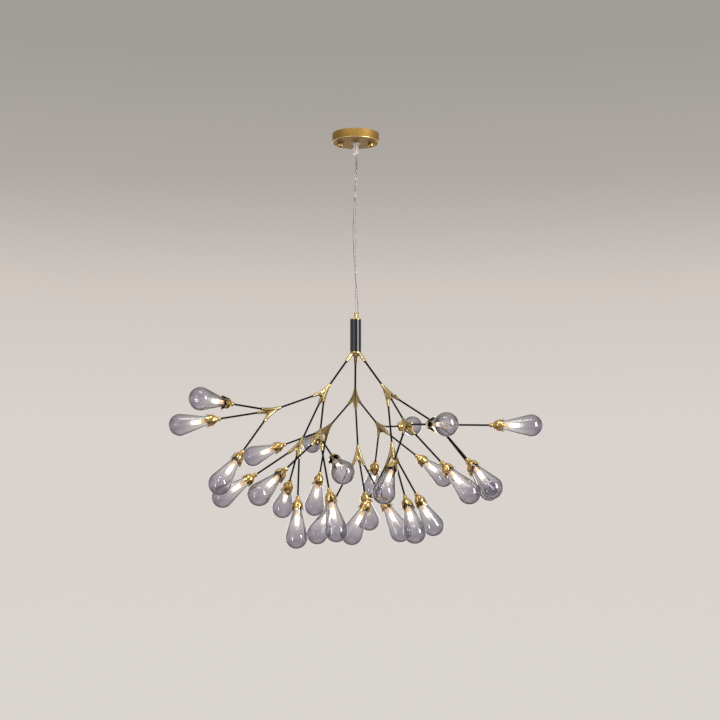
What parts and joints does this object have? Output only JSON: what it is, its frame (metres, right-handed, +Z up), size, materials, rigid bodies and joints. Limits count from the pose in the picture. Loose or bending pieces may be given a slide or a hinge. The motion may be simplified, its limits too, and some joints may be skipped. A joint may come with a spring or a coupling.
{
  "type": "chandelier",
  "caption": "Branching chandelier: a canopy and cable carry a hub whose limbs fork twice into sprays of pear-shaped smoke glass lamps that turn on their branches.",
  "frame": {"origin": "middle of the canopy's ceiling face", "axes": "+Z up into the ceiling, +X to the right seen from the front, +Y away from the front"},
  "size_m": [0.9208, 0.8458, 1.0596],
  "materials": {
    "zinc_steel": "zinc-plated steel",
    "satin_brass": "satin brass plate",
    "clear_nylon": "clear moulded nylon",
    "white_nylon": "white nylon",
    "steel_wire": "stranded steel wire",
    "clear_pvc": "clear PVC",
    "turned_brass": "turned brass",
    "gloss_black": "gloss black enamel",
    "driver_case": "moulded case",
    "cast_brass": "satin cast brass",
    "satin_black": "satin black paint",
    "petal_brass": "polished brass plate",
    "led_capsule": "glowing silicone capsule",
    "smoke_glass": "smoke-grey blown glass"
  },
  "bodies": {
    "ceiling_mount": {"ceiling_bracket": "zinc_steel", "canopy_cover": "satin_brass", "canopy_fasteners": "satin_brass", "cord_grip": "clear_nylon", "terminal_block": "white_nylon"},
    "pendant": {"steel_cable": "steel_wire", "power_cord": "clear_pvc", "cable_gripper": "turned_brass", "hub_top_cap": "turned_brass", "hub_tube": "gloss_black", "led_driver": "driver_case", "hub_manifold": "cast_brass", "limb_rods": "satin_black", "main_junctions": "cast_brass", "branch_rods": "satin_black"},
    "spray_left_outer": {"junction_left_outer": "cast_brass", "twigs_left_outer": "satin_black", "petal_cups_left_outer": "petal_brass", "led_lamps_left_outer": "led_capsule", "glass_shades_left_outer": "smoke_glass"},
    "spray_left_lower": {"junction_left_lower": "cast_brass", "twigs_left_lower": "satin_black", "petal_cups_left_lower": "petal_brass", "led_lamps_left_lower": "led_capsule", "glass_shades_left_lower": "smoke_glass"},
    "spray_left_inner": {"junction_left_inner": "cast_brass", "twigs_left_inner": "satin_black", "petal_cups_left_inner": "petal_brass", "led_lamps_left_inner": "led_capsule", "glass_shades_left_inner": "smoke_glass"},
    "spray_rear_left": {"junction_rear_left": "cast_brass", "twigs_rear_left": "satin_black", "petal_cups_rear_left": "petal_brass", "led_lamps_rear_left": "led_capsule", "glass_shades_rear_left": "smoke_glass"},
    "spray_rear_lower": {"junction_rear_lower": "cast_brass", "twigs_rear_lower": "satin_black", "petal_cups_rear_lower": "petal_brass", "led_lamps_rear_lower": "led_capsule", "glass_shades_rear_lower": "smoke_glass"},
    "spray_rear_right": {"junction_rear_right": "cast_brass", "twigs_rear_right": "satin_black", "petal_cups_rear_right": "petal_brass", "led_lamps_rear_right": "led_capsule", "glass_shades_rear_right": "smoke_glass"},
    "spray_right_lower": {"junction_right_lower": "cast_brass", "twigs_right_lower": "satin_black", "petal_cups_right_lower": "petal_brass", "led_lamps_right_lower": "led_capsule", "glass_shades_right_lower": "smoke_glass"},
    "spray_right_inner": {"junction_right_inner": "cast_brass", "twigs_right_inner": "satin_black", "petal_cups_right_inner": "petal_brass", "led_lamps_right_inner": "led_capsule", "glass_shades_right_inner": "smoke_glass"},
    "spray_right_outer": {"junction_right_outer": "cast_brass", "twigs_right_outer": "satin_black", "petal_cups_right_outer": "petal_brass", "led_lamps_right_outer": "led_capsule", "glass_shades_right_outer": "smoke_glass"}
  },
  "joints": [
    {"name": "pendant_turn", "type": "hinge", "parent": "ceiling_mount", "child": "pendant", "pos_m": [0, 0, -0.03], "axis": [0, 0, 1], "range_deg": [-90, 90], "deforming": ["power_cord"]},
    {"name": "spray_left_outer_turn", "type": "hinge", "parent": "pendant", "child": "spray_left_outer", "pos_m": [-0.20463, -0.10663, -0.72287], "axis": [-0.8505, -0.4022, -0.3388], "range_deg": [-45, 45]},
    {"name": "spray_left_lower_turn", "type": "hinge", "parent": "pendant", "child": "spray_left_lower", "pos_m": [-0.14061, -0.01246, -0.80363], "axis": [-0.4238, 0.2255, -0.8772], "range_deg": [-35, 20]},
    {"name": "spray_left_inner_turn", "type": "hinge", "parent": "pendant", "child": "spray_left_inner", "pos_m": [-0.08618, -0.14014, -0.78871], "axis": [-0.0609, -0.6256, -0.7777], "range_deg": [-15, 45]},
    {"name": "spray_rear_left_turn", "type": "hinge", "parent": "pendant", "child": "spray_rear_left", "pos_m": [-0.07584, 0.19432, -0.74999], "axis": [-0.4951, 0.6963, -0.5196], "range_deg": [-45, 45]},
    {"name": "spray_rear_lower_turn", "type": "hinge", "parent": "pendant", "child": "spray_rear_lower", "pos_m": [0.00648, 0.11181, -0.82022], "axis": [0.0537, 0.1462, -0.9878], "range_deg": [-5, 20]},
    {"name": "spray_rear_right_turn", "type": "hinge", "parent": "pendant", "child": "spray_rear_right", "pos_m": [0.06326, 0.20442, -0.74399], "axis": [0.4322, 0.7637, -0.4796], "range_deg": [-45, 45]},
    {"name": "spray_right_lower_turn", "type": "hinge", "parent": "pendant", "child": "spray_right_lower", "pos_m": [0.09227, -0.03755, -0.8213], "axis": [0.091, 0.0402, -0.995], "range_deg": [-10, 20]},
    {"name": "spray_right_inner_turn", "type": "hinge", "parent": "pendant", "child": "spray_right_inner", "pos_m": [0.12226, -0.15718, -0.75974], "axis": [0.291, -0.7574, -0.5846], "range_deg": [-45, 45]},
    {"name": "spray_right_outer_turn", "type": "hinge", "parent": "pendant", "child": "spray_right_outer", "pos_m": [0.20364, -0.05369, -0.75431], "axis": [0.8335, -0.0674, -0.5484], "range_deg": [-45, 45]}
  ]
}
